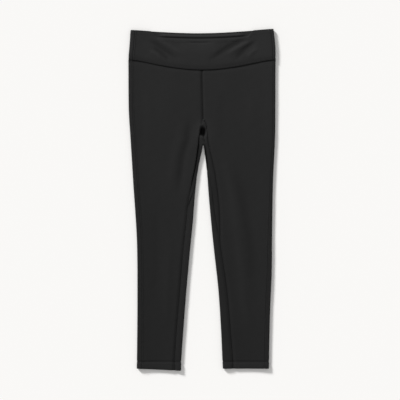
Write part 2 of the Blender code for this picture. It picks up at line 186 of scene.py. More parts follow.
ROW_STEP = 0.0026          # between rows of points along a leg
FINE_STEP = 0.0009         # and where the seams part round the top of the gusset
FINE_FROM_Y, FINE_TO_Y = 0.222, 0.188
EDGE_STEPS = [0.0006, 0.0013, 0.0021, 0.0031, 0.0044]   # rows nearer together by a sewn edge
FRONT_COLUMNS = 56
TURN_WEIGHT = 0.012        # a radian of turning counts as this much cloth in the spacing
EDGE_WEIGHT, EDGE_REACH = 3.5, 0.004   # extra columns by a sewn edge
UNDERSIDE_WEIGHT = 0.4     # fewer columns on the flat underside
FLAT_Z = 1e-5              # cloth this low lies on the table


def along(table, y, column):
    """Read a column of a table at the heights y, on a smooth curve through its rows."""
    rows = sorted(table, key=lambda row: row.y)
    heights = np.array([row.y for row in rows])
    values = np.array([getattr(row, column) for row in rows])
    place = np.arange(len(rows))
    before, after = np.maximum(place - 1, 0), np.minimum(place + 1, len(rows) - 1)
    slopes = (values[after] - values[before]) / (heights[after] - heights[before])
    y = np.clip(y, heights[0], heights[-1])
    lower = np.clip(np.searchsorted(heights, y) - 1, 0, len(rows) - 2)
    step = heights[lower + 1] - heights[lower]
    change = values[lower + 1] - values[lower]
    limit = 3 * np.abs(change / step)
    start, end = (np.clip(slopes[at], -limit, limit) for at in (lower, lower + 1))
    t = (y - heights[lower]) / step
    rise = values[lower] + change * t * t * (3 - 2 * t)
    return rise + step * (start * t * (1 - t) ** 2 - end * t * t * (1 - t))


def smooth_step(value):
    value = np.clip(value, 0.0, 1.0)
    return value * value * (3 - 2 * value)


def sag(x):
    """How much of the waist's full sag shows at x: 1 at the centre, 0 at the sides."""
    return np.maximum(1 - (x / DIP_HALF_WIDTH) ** 2, 0.0) ** 1.5


def waist_seam_y(x):
    return WAIST_SEAM_SIDE_Y - WAIST_SEAM_DIP * sag(x)


def row_y(x, y):
    """Where the points of a leg panel's row lie: rows bend to the waist seam and to the hem."""
    share = np.clip((y - WAIST_EASE_Y) / (WAIST_SEAM_SIDE_Y - WAIST_EASE_Y), 0, 1)
    to_waist = (waist_seam_y(x) - WAIST_SEAM_SIDE_Y) * share ** 1.5
    right_inner = along(INNER_FOLDS, HEM_EDGE_Y, "right")
    right_outer = along(SIDE_FOLDS, HEM_EDGE_Y, "right")
    across = np.clip((x - right_outer) / (right_inner - right_outer), 0, 1)
    right_edge = HEM_RIGHT_OUTER_RISE - (HEM_RIGHT_OUTER_RISE + HEM_RIGHT_INNER_DROP) * across
    at_edge = np.where(x < CROTCH_X, right_edge, HEM_LEFT_RISE)
    return y + to_waist + at_edge * smooth_step((HEM_START_Y - y) / (HEM_START_Y - HEM_EDGE_Y))


def hem_share(y):
    return smooth_step((HEM_START_Y - y) / HEM_STEP)


def leg_cloth(y):
    """Wall, fold radius and height of the top layer of a leg, which change at the hem."""
    share = hem_share(y)
    return (LEG_WALL + (HEM_WALL - LEG_WALL) * share,
            LEG_RADIUS + (HEM_RADIUS - LEG_RADIUS) * share,
            LEG_MIDDLE + (HEM_MIDDLE - LEG_MIDDLE) * share)


def fold_height(inward, radius, middle):
    """Height of the top layer at a distance in from a fold: round, then sinking to the middle."""
    rounding = np.sqrt(np.maximum(radius ** 2 - np.maximum(radius - inward, 0) ** 2, 0))
    fade = np.exp(-(np.maximum(inward - radius, 0) / FOLD_FALL) ** 2)
    return np.where(inward < radius, radius + rounding, middle + (2 * radius - middle) * fade)


def leg_top_z(x, y, leg):
    """Height of a leg's top layer above the table."""
    from_side = np.abs(x - along(SIDE_FOLDS, y, leg))
    from_crotch = np.hypot(x - CROTCH_X, y - CROTCH_Y) - CROTCH_RADIUS
    from_gap = np.where(y >= CROTCH_Y, from_crotch, np.abs(x - along(INNER_FOLDS, y, leg)))
    _, radius, middle = leg_cloth(y)
    return fold_height(np.minimum(from_side, from_gap), radius, middle)


def crease_lift(creases, x, y):
    """Sum of the creases' heights at the points x, y."""
    lift = np.zeros_like(x)
    for crease in creases:
        path = np.array(crease.path)
        legs = np.diff(path, axis=0)
        lengths = np.hypot(*legs.T)
        starts = np.concatenate([[0], np.cumsum(lengths)[:-1]])
        nearest = np.full_like(x, np.inf)
        reached = np.zeros_like(x)
        for (from_x, from_y), (leg_x, leg_y), length, start in zip(path, legs, lengths, starts):
            share = ((x - from_x) * leg_x + (y - from_y) * leg_y) / length ** 2
            inside = np.clip(share, 0, 1)
            away = np.hypot(x - from_x - leg_x * inside, y - from_y - leg_y * inside)
            closer = away < nearest
            nearest = np.where(closer, away, nearest)
            reached = np.where(closer, start + inside * length, reached)
        total = lengths.sum()
        # A long crease rises from nothing at its ends and is fullest in the middle.
        taper = 1.0
        if total > LONG_CREASE * crease.width:
            ends = np.minimum(reached, total - reached) / (FADE_SHARE * total)
            taper = smooth_step(ends + FADE_START)
        lift += crease.height * taper * np.exp(-(nearest / crease.width) ** crease.steepness)
    return lift


def soft_unevenness(x, y):
    def wave(rate_x, rate_y, start):
        return np.sin(rate_x * x + rate_y * y + start)

    return sum(swell.height * wave(*swell.first) * wave(*swell.second) for swell in SWELLS)


def straight(start, end, steps=90):
    share = np.linspace(0, 1, steps + 1)[:, None]
    return np.array(start) + (np.array(end) - np.array(start)) * share


def seam_x(y, leg):
    """The front panel's inner seam: the centre seam down to the gusset, then its own."""
    if y > GUSSET_TOP_Y:
        share = (y - GUSSET_TOP_Y) / (WAIST_SEAM_SIDE_Y - GUSSET_TOP_Y)
        return GUSSET_TOP_X + (CENTRE_SEAM_TOP_X - GUSSET_TOP_X) * share
    return float(along(FRONT_SEAMS, y, leg))


def outseam_x(y, leg, outward):
    return float(along(SIDE_FOLDS, y, leg) - outward * along(OUTSEAM_INSETS, y, leg))


def on_top(plan, leg):
    return np.column_stack([plan, leg_top_z(plan[:, 0], plan[:, 1], leg)])


def spread_row(path, columns, start_trim, end_trim):
    """Pick points on a path, closer where it turns and by its ends, leaving out its two trims."""
    steps = np.diff(path, axis=0)
    lengths = np.linalg.norm(steps, axis=1)
    path = path[np.concatenate([[True], lengths > SAME_PLACE])]
    steps = np.diff(path, axis=0)
    lengths = np.linalg.norm(steps, axis=1)
    ways = steps / lengths[:, None]
    turns = np.arccos(np.clip((ways[1:] * ways[:-1]).sum(1), -1, 1))
    turns = np.concatenate([turns[:1], (turns[1:] + turns[:-1]) / 2, turns[-1:]])
    done = np.concatenate([[0], np.cumsum(lengths)])
    middle = (done[1:] + done[:-1]) / 2
    density = np.where(path[1:, 2] + path[:-1, 2] < FLAT_Z, UNDERSIDE_WEIGHT, 1.0)
    from_end = np.minimum(middle, done[-1] - middle)
    density += EDGE_WEIGHT * np.exp(-from_end / EDGE_REACH)
    measure = np.concatenate([[0], np.cumsum(lengths * density + TURN_WEIGHT * turns)])
    first, last = np.interp([start_trim, done[-1] - end_trim], done, measure)
    at = np.interp(np.linspace(first, last, columns), measure, done)
    return np.column_stack([np.interp(at, done, path[:, axis]) for axis in range(3)])


def unit(vectors):
    return vectors / np.maximum(np.linalg.norm(vectors, axis=-1, keepdims=True), NO_LENGTH)


def grid_normals(grid):
    return unit(np.cross(np.gradient(grid, axis=1), np.gradient(grid, axis=0)))


def distance_along(grid, axis):
    """How far each point of a grid lies from its first column (axis 1) or first row (axis 0)."""
    steps = np.linalg.norm(np.diff(grid, axis=axis), axis=2)
    done = np.cumsum(steps, axis=axis)
    return np.insert(done, 0, 0, axis=axis)


def draw_in(depth, reach, distance):
    return depth * np.exp(-(distance / reach) ** 2)


ROLL_ANGLES = np.radians([60, 30, 0, -30, -60])
CAP_ANGLES = np.radians([30, 60, 90])


def cloth_shell(name, outer, painted_shading, wall, facing):
    """Make a closed piece of cloth from its outer surface, with rolled edges all round.

    facing is 1 where across x down points out of the cloth's face, and -1 where it doesn't.
    """
    rows, columns = outer.shape[:2]
    wall = np.broadcast_to(wall, (rows, columns))[..., None]
    normals = facing * grid_normals(outer)
    inner = outer - normals * wall
    middle = (outer + inner) / 2
    weave = np.stack([distance_along(outer, 1), distance_along(outer, 0), painted_shading], 2)

    def rolled(column, neighbour, angles):
        out = unit(middle[:, column] - middle[:, neighbour])[:, None]
        half = wall[:, column, None] / 2
        up = normals[:, column, None]
        turn = angles[None, :, None]
        return middle[:, column, None] + half * (up * np.sin(turn) + out * np.cos(turn))

    def around(front, end_roll, back, start_roll):
        return np.concatenate([front, end_roll, back[:, ::-1], start_roll], axis=1)

    turns = len(ROLL_ANGLES)
    loops = around(outer, rolled(-1, -2, ROLL_ANGLES), inner, rolled(0, 1, -ROLL_ANGLES))

    def held(values):
        """Values of the middle surface for each point of a loop."""
        return around(values, np.repeat(values[:, -1:], turns, 1), values,
                      np.repeat(values[:, :1], turns, 1))

    core, weave_loops, walls = held(middle), held(weave), held(wall)
    caps = []
    for row, neighbour in ((0, 1), (-1, -2)):
        out = unit(core[row] - core[neighbour])
        caps.append([core[row] + (loops[row] - core[row]) * math.cos(angle)
                     + out * walls[row] / 2 * math.sin(angle) for angle in CAP_ANGLES])
    loops = np.concatenate([caps[0][::-1], loops, caps[1]])
    padding = len(CAP_ANGLES)
    weave_loops = np.pad(weave_loops, ((padding, padding), (0, 0), (0, 0)), mode="edge")

    shape = bmesh.new()
    # x and y are distances across and down the cloth, and z is its painted shade and highlight.
    cloth = shape.verts.layers.float_vector.new("cloth")
    points = []
    for loop, threads in zip(loops, weave_loops):
        points.append([shape.verts.new(point) for point in loop])
        for vertex, place in zip(points[-1], threads):
            vertex[cloth] = place
    around_count = loops.shape[1]
    for upper, lower in zip(points, points[1:]):
        for at in range(around_count):
            after = (at + 1) % around_count
            corners = [upper[at], upper[after], lower[after], lower[at]]
            shape.faces.new(corners if facing > 0 else reversed(corners))
    bmesh.ops.remove_doubles(shape, verts=shape.verts, dist=SAME_PLACE)
    mesh = bpy.data.meshes.new(name)
    shape.to_mesh(mesh)
    shape.free()
    mesh.shade_smooth()
    piece = bpy.data.objects.new(name, mesh)
    bpy.context.scene.collection.objects.link(piece)
    return piece


def node_with(tree, kind, inputs=(), **settings):
    """Add a node with its settings; each of its inputs gets a value or another node's output."""
    node = tree.nodes.new(kind)
    for name, value in settings.items():
        setattr(node, name, value)
    for name, value in dict(inputs).items():
        if isinstance(value, bpy.types.NodeSocket):
            tree.links.new(value, node.inputs[name])
        else:
            node.inputs[name].default_value = value
    return node


def math_with(tree, operation, *values, **settings):
    """A math node's output, from values or other nodes' outputs."""
    return node_with(tree, "ShaderNodeMath", dict(enumerate(values)), operation=operation,
                     **settings).outputs[0]


WALE_WIDTH, COURSE_HEIGHT = 0.0011, 0.0012
LOOP_LEAN = 1.3            # how far a loop's legs lean, in courses for each wale
LOOP_SHADE = 0.10
MOTTLE, FINE_MOTTLE, WIDE_MOTTLE = 0.14, (140.0, 3.0), (9.0, 2.0)    # noise scale and detail
# How much darker the cloth gets towards the ankles, per metre, and its limits.
DOWNWARD_DARKENING, DARKENING_PER_METRE, LEAST_DARKENING, MOST_DARKENING = 0.19, 2.2, -0.75, 1.0


def jersey_group():
    """Shader group for weft-knitted jersey: rows of small V-shaped loops, and a soft mottle."""
    group = bpy.data.node_groups.new("jersey_knit", "ShaderNodeTree")
    add = group.interface.new_socket
    add("Cloth", in_out="INPUT", socket_type="NodeSocketVector")
    add("Place", in_out="INPUT", socket_type="NodeSocketVector")
    for name, value in (("Wale width", WALE_WIDTH), ("Course height", COURSE_HEIGHT),
                        ("Mottle", MOTTLE), ("Fade", DOWNWARD_DARKENING)):
        socket = add(name, in_out="INPUT", socket_type="NodeSocketFloat")
        socket.default_value = value
    for name in ("Loops", "Shade", "Painted shade factor"):
        add(name, in_out="OUTPUT", socket_type="NodeSocketFloat")
    given = group.nodes.new("NodeGroupInput").outputs
    result = group.nodes.new("NodeGroupOutput")

    def calc(operation, *values):
        return math_with(group, operation, *values)

    split = node_with(group, "ShaderNodeSeparateXYZ", {0: given["Cloth"]}).outputs
    wale = calc("DIVIDE", split["X"], given["Wale width"])
    course = calc("DIVIDE", split["Y"], given["Course height"])
    # Each loop is a V: the legs of the V lean from the middle of a wale up to its sides.
    lean = calc("PINGPONG", wale, 0.5)
    slanted = calc("ADD", course, calc("MULTIPLY", lean, LOOP_LEAN))
    strands = calc("SINE", calc("MULTIPLY", slanted, 2 * math.pi))
    groove = calc("SINE", calc("MULTIPLY", lean, 2 * math.pi))
    loops = calc("MULTIPLY", calc("ADD", calc("MULTIPLY", strands, 0.5), 0.5),
                 calc("ADD", calc("MULTIPLY", groove, 0.6), 0.4))

    def noise(scale, detail):
        cloud = node_with(group, "ShaderNodeTexNoise",
                          {"Scale": scale, "Detail": detail, "Vector": given["Place"]})
        return calc("SUBTRACT", cloud.outputs[0], 0.5)

    both = calc("ADD", noise(*FINE_MOTTLE), noise(*WIDE_MOTTLE))
    shade = calc("MULTIPLY_ADD", both, given["Mottle"], 1.0)
    shade = calc("MULTIPLY_ADD", loops, LOOP_SHADE, calc("SUBTRACT", shade, LOOP_SHADE / 2))
    # A little darker towards the ankles, with painted shade down in creases and seams.
    height = node_with(group, "ShaderNodeSeparateXYZ", {0: given["Place"]})
    fade = calc("MULTIPLY", height.outputs["Y"], DARKENING_PER_METRE)
    fade = calc("MINIMUM", calc("MAXIMUM", fade, LEAST_DARKENING), MOST_DARKENING)
    shade = calc("MULTIPLY", shade, calc("MULTIPLY_ADD", fade, given["Fade"], 1.0))
    painted_shade_factor = calc("ADD", split["Z"], 1.0)
    shade = calc("MULTIPLY", shade, painted_shade_factor)
    for name, value in (("Loops", loops), ("Shade", shade), ("Painted shade factor", painted_shade_factor)):
        group.links.new(value, result.inputs[name])
    return group


jersey_knit = jersey_group()


KNIT_SHINE, SHEEN_ROUGHNESS = 0.10, 0.55
ROUGHNESS_RANGE = 0.05
KNIT_BUMP = 0.6


def knit_material(name, colour, roughness, sheen, loop_depth, wale_width, course_height):
    """A matt knit: jersey loops in its colour, roughness and bump, and a soft sheen."""
    material = bpy.data.materials.new(name)
    material.use_nodes = True
    tree = material.node_tree
    shader = tree.nodes["Principled BSDF"]
    shader.inputs["Sheen Roughness"].default_value = SHEEN_ROUGHNESS
    weave = node_with(tree, "ShaderNodeAttribute", attribute_name="cloth")
    place = tree.nodes.new("ShaderNodeTexCoord")
    knit = node_with(tree, "ShaderNodeGroup", node_tree=jersey_knit)
    for socket, value in (("Wale width", wale_width), ("Course height", course_height)):
        knit.inputs[socket].default_value = value
    tree.links.new(weave.outputs["Vector"], knit.inputs["Cloth"])
    tree.links.new(place.outputs["Object"], knit.inputs["Place"])
    tint = node_with(tree, "ShaderNodeMix", data_type="RGBA", blend_type="MULTIPLY")
    tint.inputs["Factor"].default_value = 1.0
    tint.inputs["A"].default_value = (*colour, 1.0)
    tree.links.new(knit.outputs["Shade"], tint.inputs["B"])
    rough = node_with(tree, "ShaderNodeMapRange",
                      {"To Min": roughness + ROUGHNESS_RANGE, "To Max": roughness - ROUGHNESS_RANGE,
                       "Value": knit.outputs["Loops"]})
    bump = node_with(tree, "ShaderNodeBump", {"Strength": KNIT_BUMP, "Distance": loop_depth,
                                              "Height": knit.outputs["Loops"]})
    # The painted shade in creases and seams takes away from its shine and sheen as well.
    painted_shade_factor = knit.outputs["Painted shade factor"]
    for socket, source in (
            ("Base Color", tint.outputs["Result"]),
            ("Roughness", rough.outputs["Result"]),
            ("Normal", bump.outputs["Normal"]),
            ("Sheen Weight", math_with(tree, "MULTIPLY", painted_shade_factor, sheen, use_clamp=True)),
            ("Specular IOR Level", math_with(tree, "MULTIPLY", painted_shade_factor, KNIT_SHINE,
                                             use_clamp=True))):
        tree.links.new(source, shader.inputs[socket])
    return material


leg_knit = knit_material("leg_knit", (0.0134, 0.0134, 0.0134), roughness=0.86, sheen=0.05,
                         loop_depth=0.00012, wale_width=0.0011, course_height=0.0013)


HEM_LINE_ROWS = np.linspace(0.006, -0.005, 12)    # rows round the hem's stitch lines
ROWS_APART = 0.6           # a regular row is left out within this share of a step of another


def leg_heights():
    """Heights of the rows of a leg panel, closer by the waist seam, the gusset and the hem."""
    top = WAIST_SEAM_SIDE_Y - SEAM_GAP / 2 - LEG_WALL / 2
    bottom = HEM_EDGE_Y + HEM_WALL / 2
    special = [top] + [top - step for step in EDGE_STEPS]
    special += [HEM_START_Y + offset for offset in HEM_LINE_ROWS]
    special += [bottom + step for step in EDGE_STEPS] + [bottom]
    special += list(np.arange(FINE_FROM_Y, FINE_TO_Y, -FINE_STEP))
    count = round((top - bottom) / ROW_STEP)
    regular = [y for y in np.linspace(top, bottom, count)
               if min(abs(y - other) for other in special) > ROWS_APART * ROW_STEP]
    return np.array(sorted(special + regular, reverse=True))


LEG_HEIGHTS = leg_heights()
LEG_WALLS = leg_cloth(LEG_HEIGHTS)[0]
# A row stops short of its seam by half the seam's gap, and half the wall for its rolled edge.
LEG_TRIMS = SEAM_GAP / 2 + LEG_WALLS / 2
LEG_TRIM = SEAM_GAP / 2 + LEG_WALL / 2


def laid_panel(rows_at, columns, end_room):
    """The grid of a leg panel from its row paths; end_room leaves more room at their far ends."""
    rows = [spread_row(path, columns, trim, trim + room)
            for path, trim, room in zip(rows_at, LEG_TRIMS, end_room)]
    return np.array(rows)


def off_underside(normals):
    """1 where the cloth faces up or sideways, and 0 on the underside, which stays flat."""
    return smooth_step((normals[..., 2] - UNDERSIDE_TO) / UNDERSIDE_OVER)


def creased(grid, facing):
    """Lift the top layer by its creases, in full where it faces up and not at all on a fold.

    Also gives the cloth's painted shading: painted shade in its creases, soft folds and hem groove,
    a little painted highlight on their ridges, and a painted highlight on the full, doubled hem.
    """
    normals = facing * grid_normals(grid)
    x, y = grid[..., 0], grid[..., 1]
    upward = smooth_step((normals[..., 2] - TOP_FROM) / TOP_OVER)
    deep = upward * crease_lift(CROTCH_CREASES, x, y)
    soft = upward * crease_lift(LEG_CREASES, x, y)
    lift = deep + soft + upward * soft_unevenness(x, y)
    hem_groove = draw_in(*HEM_STITCH_DRAW, y - HEM_GROOVE_Y)
    grid = grid.copy()
    grid[..., 2] += lift * (1 - HEM_STIFFNESS * hem_share(y))
    painted_shading = np.clip(deep * CREASE_SHADE, DARKEST_CREASE, LIGHTEST_RIDGE)
    painted_shading += np.clip(soft * FOLD_SHADE, DARKEST_FOLD, LIGHTEST_RIDGE)
    painted_shading -= hem_groove * GROOVE_SHADE
    painted_shading += draw_in(HEM_HIGHLIGHT, HEM_HIGHLIGHT_REACH, y - HEM_FULL_Y)
    return grid - normals * (off_underside(normals) * hem_groove)[..., None], painted_shading


def drawn_by_seams(grid, painted_shading, facing, wall, *draws):
    """Sink the cloth into its seams; each draw is (distance from the seam, depth, reach).

    The top layer then stays clear of the layer below it.
    """
    normals = facing * grid_normals(grid)
    for distance, depth, reach in draws:
        sunk = off_underside(normals) * draw_in(depth, reach, distance)
        grid = grid - normals * sunk[..., None]
        # Cloth drawn into a seam gets painted shade as well.
        painted_shading = painted_shading - np.maximum(sunk, 0) * GROOVE_SHADE
    least = 2 * wall + LAYER_GAP
    kept = least + LAYER_EASE * np.logaddexp(0, (grid[..., 2] - least) / LAYER_EASE)
    grid[..., 2] = np.where(normals[..., 2] > TOP_FROM, kept, grid[..., 2])
    return grid, painted_shading


def by_height(y, *stops):
    """A value that changes along the leg, from (height, value) stops with the highest first."""
    heights, values = zip(*reversed(stops))
    return np.interp(y, heights, values)[:, None]


# Polyester thread, smoother than the cloth. A flat seam is covered by slanted stitches, with a
# straight needle line on each side of it, and the hems have a twin needle line.
STITCH_PITCH, STITCH_LENGTH, THREAD_WIDTH = 0.0025, 0.0020, 0.0006
FLAT_SEAM_INSETS = ((0.0011, 0.60), (0.0028, 0.0))      # distance from the edge, and slant
HEM_LINE_INSETS = ((0.0170, 0.0), (0.0148, 0.0))
THREAD_SUNK = 0.25         # share of the thread's width that lies in the cloth
STITCH_UNEVENNESS = 0.18   # the shortest stitch is this share shorter than the longest
THREAD_SIDES, THREAD_RINGS = 6, 4

ThreadLine = namedtuple("ThreadLine", "points normals slant")


def thread_line(grid, facing, edge, inset, slant=0.0, rows=slice(None)):
    """A line of stitches on a piece's surface, at a distance in from one of its edges."""
    normals = facing * grid_normals(grid)
    if edge in ("top", "bottom"):
        grid, normals = grid.swapaxes(0, 1), normals.swapaxes(0, 1)
    if edge in ("end", "bottom"):
        grid, normals = grid[:, ::-1], normals[:, ::-1]
    grid, normals = grid[rows], normals[rows]

    def read(values):
        return np.array([[np.interp(inset, done, row[:, axis]) for axis in range(3)]
                         for done, row in zip(distance_along(grid, 1), values)])

    return ThreadLine(read(grid), unit(read(normals)), slant)


def flat_seam(grid, facing, edge, rows=slice(None)):
    return [thread_line(grid, facing, edge, inset, slant, rows)
            for inset, slant in FLAT_SEAM_INSETS]


def hem_lines(grid, facing):
    return [thread_line(grid, facing, "bottom", inset, slant) for inset, slant in HEM_LINE_INSETS]


def stitch_tree():
    """Geometry Nodes: one short thread at each pitch along a line, slanted to and fro."""
    tree = bpy.data.node_groups.new("stitches_along_a_seam", "GeometryNodeTree")
    add = tree.interface.new_socket
    add("Geometry", in_out="INPUT", socket_type="NodeSocketGeometry")
    for name, kind in (("Pitch", "Float"), ("Stitch length", "Float"), ("Thread width", "Float"),
                       ("Unevenness", "Float"), ("Seed", "Int"), ("Thread", "Material")):
        add(name, in_out="INPUT", socket_type="NodeSocket" + kind)
    add("Geometry", in_out="OUTPUT", socket_type="NodeSocketGeometry")
    given = tree.nodes.new("NodeGroupInput").outputs
    result = tree.nodes.new("NodeGroupOutput")

    def named(attribute, kind):
        return node_with(tree, "GeometryNodeInputNamedAttribute", {"Name": attribute},
                         data_type=kind).outputs["Attribute"]

    line = node_with(tree, "GeometryNodeMeshToCurve", {0: given["Geometry"]})
    spaced = node_with(tree, "GeometryNodeResampleCurve", {"Curve": line.outputs[0],
                                                           "Length": given["Pitch"]}, mode="LENGTH")
    upright = node_with(tree, "FunctionNodeAlignRotationToVector",
                        {"Vector": named("up", "FLOAT_VECTOR")}, axis="Z")
    tangent = tree.nodes.new("GeometryNodeInputTangent").outputs[0]
    along_line = node_with(tree, "FunctionNodeAlignRotationToVector",
                           {"Rotation": upright.outputs[0], "Vector": tangent},
                           axis="X", pivot_axis="Z")
    # Every other stitch slants the other way.
    index = tree.nodes.new("GeometryNodeInputIndex").outputs[0]
    sign = math_with(tree, "MULTIPLY_ADD", math_with(tree, "MODULO", index, 2.0), 2.0, -1.0)
    angle = math_with(tree, "MULTIPLY", sign, named("slant", "FLOAT"))
    turn = node_with(tree, "FunctionNodeAxisAngleToRotation",
                     {"Axis": (0.0, 0.0, 1.0), "Angle": angle})
    slanted = node_with(tree, "FunctionNodeRotateRotation",
                        {"Rotation": along_line.outputs[0], "Rotate By": turn.outputs[0]},
                        rotation_space="LOCAL")

    thread = node_with(tree, "GeometryNodeMeshUVSphere",
                       {"Segments": THREAD_SIDES, "Rings": THREAD_RINGS, "Radius": 0.5})
    lengthways = node_with(tree, "GeometryNodeTransform",
                           {"Rotation": (0.0, math.pi / 2, 0.0), "Geometry": thread.outputs["Mesh"]})
    least = math_with(tree, "SUBTRACT", 1.0, given["Unevenness"])
    uneven = node_with(tree, "FunctionNodeRandomValue",
                       {2: least, 3: 1.0, "Seed": given["Seed"]}, data_type="FLOAT")
    length = math_with(tree, "MULTIPLY", given["Stitch length"], uneven.outputs[1])
    size = node_with(tree, "ShaderNodeCombineXYZ", {"X": length, "Y": given["Thread width"],
                                                    "Z": given["Thread width"]})
    placed = node_with(tree, "GeometryNodeInstanceOnPoints",
                       {"Points": spaced.outputs["Curve"], "Instance": lengthways.outputs[0],
                        "Rotation": slanted.outputs[0], "Scale": size.outputs[0]})
    real = node_with(tree, "GeometryNodeRealizeInstances", {0: placed.outputs[0]})
    smooth = node_with(tree, "GeometryNodeSetShadeSmooth", {"Geometry": real.outputs[0]})
    finish = node_with(tree, "GeometryNodeSetMaterial",
                       {"Geometry": smooth.outputs[0], "Material": given["Thread"]})
    tree.links.new(finish.outputs[0], result.inputs[0])
    return tree


THREAD_DARK, THREAD_LIGHT = (0.0090, 0.0090, 0.0092, 1.0), (0.0200, 0.0200, 0.0204, 1.0)
THREAD_SHINE, THREAD_SHEEN = 0.22, 0.05
THREAD_TWIST = 2600.0      # scale of the fine noise that stands for the thread's twist
THREAD_ROUGHNESS = (0.55, 0.72)
THREAD_BUMP = 0.00008


def thread_material():
    """Black spun thread: a fine noise stands for its twist, in colour, roughness and bump."""
    material = bpy.data.materials.new("sewing_thread")
    material.use_nodes = True
    tree = material.node_tree
    shader = tree.nodes["Principled BSDF"]
    shader.inputs["Specular IOR Level"].default_value = THREAD_SHINE
    shader.inputs["Sheen Weight"].default_value = THREAD_SHEEN
    place = tree.nodes.new("ShaderNodeTexCoord")
    twist = node_with(tree, "ShaderNodeTexNoise",
                      {"Scale": THREAD_TWIST, "Vector": place.outputs["Object"]}).outputs[0]
    colour = node_with(tree, "ShaderNodeValToRGB", {0: twist})
    for element, shade in zip(colour.color_ramp.elements, (THREAD_DARK, THREAD_LIGHT)):
        element.color = shade
    rough = node_with(tree, "ShaderNodeMapRange", {"To Min": THREAD_ROUGHNESS[0],
                                                   "To Max": THREAD_ROUGHNESS[1], "Value": twist})
    bump = node_with(tree, "ShaderNodeBump", {"Distance": THREAD_BUMP, "Height": twist})
    for socket, source in (("Base Color", colour.outputs[0]),
                           ("Roughness", rough.outputs["Result"]),
                           ("Normal", bump.outputs["Normal"])):
        tree.links.new(source, shader.inputs[socket])
    return material


stitches_along_a_seam = stitch_tree()
sewing_thread = thread_material()


def sew(name, panel, lines, seed):
    """Sew lines of stitches on a panel; the stitches go wherever the panel goes."""
    mesh = bpy.data.meshes.new(name + "_lines")
    points, edges, ups, slants = [], [], [], []
    for line in lines:
        first = len(points)
        lift = line.normals * THREAD_WIDTH * (0.5 - THREAD_SUNK)
        points.extend(line.points + lift)
        ups.extend(line.normals)
        slants.extend([line.slant] * len(line.points))
        edges.extend((at, at + 1) for at in range(first, len(points) - 1))
    mesh.from_pydata(points, edges, [])
    mesh.attributes.new("up", "FLOAT_VECTOR", "POINT").data.foreach_set("vector", np.ravel(ups))
    mesh.attributes.new("slant", "FLOAT", "POINT").data.foreach_set("value", slants)
    guide = bpy.data.objects.new(name + "_lines", mesh)
    bpy.context.scene.collection.objects.link(guide)
    modifier = guide.modifiers.new("Stitches", "NODES")
    modifier.node_group = stitches_along_a_seam
    sockets = {item.name: item.identifier for item in stitches_along_a_seam.interface.items_tree
               if item.in_out == "INPUT"}
    for socket, value in (("Pitch", STITCH_PITCH), ("Stitch length", STITCH_LENGTH),
                          ("Thread width", THREAD_WIDTH), ("Unevenness", STITCH_UNEVENNESS),
                          ("Seed", seed), ("Thread", sewing_thread)):
        modifier[sockets[socket]] = value
    shown = guide.evaluated_get(bpy.context.evaluated_depsgraph_get())
    piece = bpy.data.objects.new(name, bpy.data.meshes.new_from_object(shown))
    piece.data.name = name
    bpy.context.scene.collection.objects.link(piece)
    bpy.data.objects.remove(guide)
    piece.parent = panel
    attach(piece, "root")
    return piece


# How deep each front panel's inner edge is drawn in, at heights down the leg: beside the gusset
# the right panel's edge stands up, and the left one's lies lower.
FRONT_INNER_DRAWS = {
    "right": ((0.22, 0.0013), (0.205, 0.0004), (0.19, -0.0013), (0.10, -0.0011), (0.05, -0.0004),
              (0.0, 0.0012), (-0.4, 0.0015)),
    "left": ((0.22, 0.0013), (0.19, 0.0012), (0.0, 0.0013), (-0.4, 0.0015)),
}
FRONT_INNER_REACH = ((0.20, CENTRE_SEAM_DRAW.reach), (0.10, INSEAM_DRAW.reach))
# How much painted shade that edge gets, and over what distance: on the right where it is joined to
# the gusset, and on the left along the centre seam.
FRONT_INNER_SHADES = {
    "right": (((0.18, 0.0), (0.165, 0.45), (0.06, 0.36), (0.02, 0.0)), 0.0042),
    "left": (((0.25, 0.26), (0.21, 0.40), (0.19, 0.0)), 0.0020),
}

for leg, outward in (("right", -1.0), ("left", 1.0)):
    paths = []
    for y in LEG_HEIGHTS:
        plan = straight((outseam_x(y, leg, outward), y), (seam_x(y, leg), y))
        paths.append(on_top(plan, leg))
    grid = laid_panel(paths, FRONT_COLUMNS, np.zeros(len(paths)))
    facing = outward
    from_outseam = distance_along(grid, 1)
    from_inner = from_outseam[:, -1:] - from_outseam
    from_waist = np.broadcast_to((LEG_HEIGHTS[0] - LEG_HEIGHTS)[:, None], from_inner.shape)
    grid, painted_shading = creased(grid, facing)
    inner_depth = by_height(LEG_HEIGHTS, *FRONT_INNER_DRAWS[leg])
    inner_reach = by_height(LEG_HEIGHTS, *FRONT_INNER_REACH)
    grid, painted_shading = drawn_by_seams(grid, painted_shading, facing, LEG_WALLS[:, None],
                                (from_outseam, *OUTSEAM_DRAW),
                                (from_inner, inner_depth, inner_reach),
                                (from_waist, *WAIST_SEAM_DRAW))
    shades, shade_reach = FRONT_INNER_SHADES[leg]
    painted_shading -= draw_in(by_height(LEG_HEIGHTS, *shades), shade_reach, from_inner)
    grid[..., 1] = row_y(grid[..., 0], grid[..., 1])
    piece = cloth_shell("leg_front_" + leg, grid, painted_shading, LEG_WALLS[:, None], facing)
    piece.data.materials.append(leg_knit)
    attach(piece, "root")
    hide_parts("front_" + leg)
    below_gusset_top = LEG_HEIGHTS < GUSSET_TOP_Y
    seams = flat_seam(grid, facing, "start") + flat_seam(grid, facing, "end", below_gusset_top)
    sew("leg_front_" + leg + "_stitches", piece, seams + hem_lines(grid, facing), seed=3)


# ---------------------------------------------------------------- Gusset
# A long lozenge of the same jersey is set between the four leg panels. It is a saddle: its
# rows run from the front, down through the crotch, and up the back.

